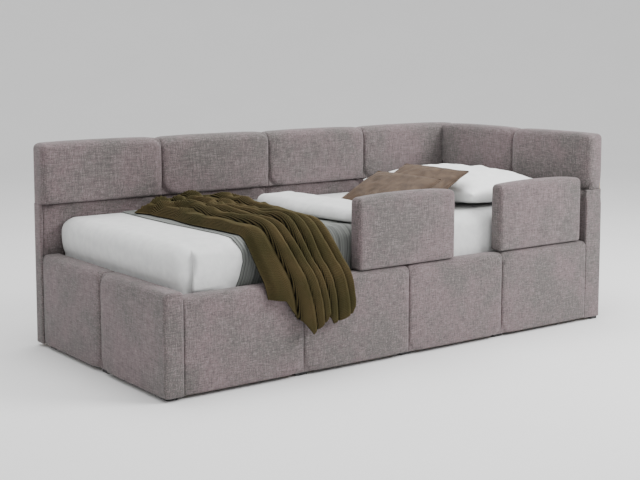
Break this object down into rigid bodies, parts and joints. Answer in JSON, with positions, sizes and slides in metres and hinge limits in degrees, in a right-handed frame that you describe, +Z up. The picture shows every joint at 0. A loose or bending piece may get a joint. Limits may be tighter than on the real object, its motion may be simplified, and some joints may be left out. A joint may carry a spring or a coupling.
{
  "type": "upholstered child day bed",
  "caption": "Low upholstered corner day bed for a child with padded back and headboard, lift-out side guards, slatted base, mattress and bedding.",
  "frame": {"origin": "on the floor, under the middle of the bed and its hanging throw", "axes": "+X along the bed from the foot panel to the headboard, +Y from the open side to the back panel, +Z up"},
  "size_m": [2.225, 1.074, 0.835],
  "materials": {
    "upholstery": "heathered woven upholstery",
    "timber": "planed softwood",
    "plywood": "raw plywood",
    "slat_wood": "planed softwood",
    "steel": "zinc plated",
    "webbing": "woven tape",
    "black_plastic": "moulded",
    "mattress_ticking": "knitted ticking",
    "white_cotton": "washed cotton",
    "striped_cotton": "striped woven cotton",
    "ribbed_knit": "chunky ribbed knit",
    "brown_satin": "soft sheen"
  },
  "bodies": {
    "bed_frame": {"back_rails": "timber", "back_stiles": "timber", "back_plywood": "plywood", "back_cover": "upholstery", "back_end_wrap": "upholstery", "back_upper_pad_1": "upholstery", "back_upper_pad_2": "upholstery", "back_upper_pad_3": "upholstery", "back_upper_pad_4": "upholstery", "back_lower_pad_1": "upholstery", "back_lower_pad_2": "upholstery", "back_lower_pad_3": "upholstery", "back_lower_pad_4": "upholstery", "head_rails": "timber", "head_stiles": "timber", "head_plywood": "plywood", "head_cover": "upholstery", "head_end_wrap": "upholstery", "head_upper_pad_1": "upholstery", "head_upper_pad_2": "upholstery", "head_lower_pad_1": "upholstery", "head_lower_pad_2": "upholstery", "foot_rails": "timber", "foot_stiles": "timber", "foot_pad_1": "upholstery", "foot_pad_2": "upholstery", "side_rail": "timber", "side_pad_1": "upholstery", "side_pad_2": "upholstery", "side_pad_3": "upholstery", "side_pad_4": "upholstery", "slat_ledgers": "timber", "centre_beam": "timber", "beam_hangers": "steel", "centre_legs": "timber", "slats": "slat_wood", "slat_straps": "webbing", "corner_brackets": "steel", "bracket_bolts": "steel", "floor_glides": "black_plastic", "guard_sockets": "black_plastic"},
    "guard_foot": {"guard_foot_core": "plywood", "guard_foot_pad": "upholstery", "guard_foot_pins": "steel"},
    "guard_head": {"guard_head_core": "plywood", "guard_head_pad": "upholstery", "guard_head_pins": "steel"},
    "bedding": {"mattress": "mattress_ticking", "fitted_sheet": "white_cotton", "coverlet": "striped_cotton", "duvet": "white_cotton", "throw": "ribbed_knit", "pillow": "white_cotton", "cushion_back": "brown_satin", "cushion_front": "brown_satin"}
  },
  "joints": [
    {"name": "guard_foot_lift", "type": "slide", "parent": "bed_frame", "child": "guard_foot", "axis": [0, 0, 1], "range_m": [0, 0.16]},
    {"name": "guard_head_lift", "type": "slide", "parent": "bed_frame", "child": "guard_head", "axis": [0, 0, 1], "range_m": [0, 0.16]},
    {"name": "bedding_lift", "type": "slide", "parent": "bed_frame", "child": "bedding", "axis": [0, 0, 1], "range_m": [0, 0.05]}
  ]
}
